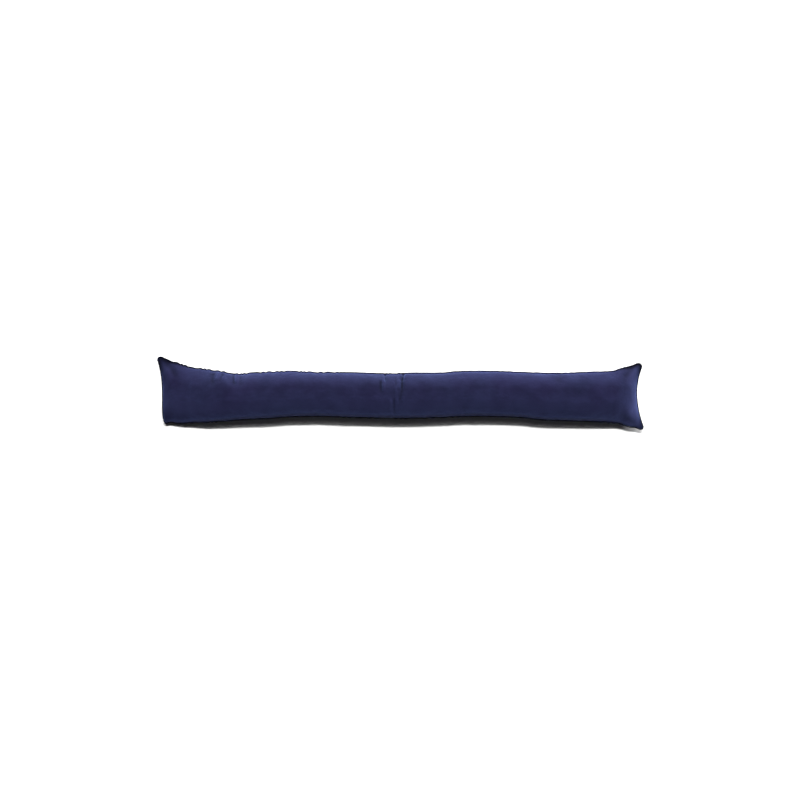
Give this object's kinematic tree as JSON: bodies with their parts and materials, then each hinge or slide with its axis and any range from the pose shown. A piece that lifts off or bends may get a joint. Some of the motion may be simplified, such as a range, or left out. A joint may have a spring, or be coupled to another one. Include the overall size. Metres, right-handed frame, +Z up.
{
  "type": "draught excluder",
  "caption": "Long stuffed velvet draught excluder: a plain filled tube with a knife-edge seam all round and pointed corners, lying flat on its back panel.",
  "frame": {"origin": "centre of the box's underside, on the surface that the cushion lies on", "axes": "+X along the length, to the right as the face is seen; +Y across the face to the far long seam; +Z up, out of the face panel"},
  "size_m": [0.9, 0.137, 0.0825],
  "materials": {
    "navy_velvet": "short-pile plain velvet, soft sheen"
  },
  "bodies": {
    "root": {"cushion": "navy_velvet"}
  },
  "joints": []
}
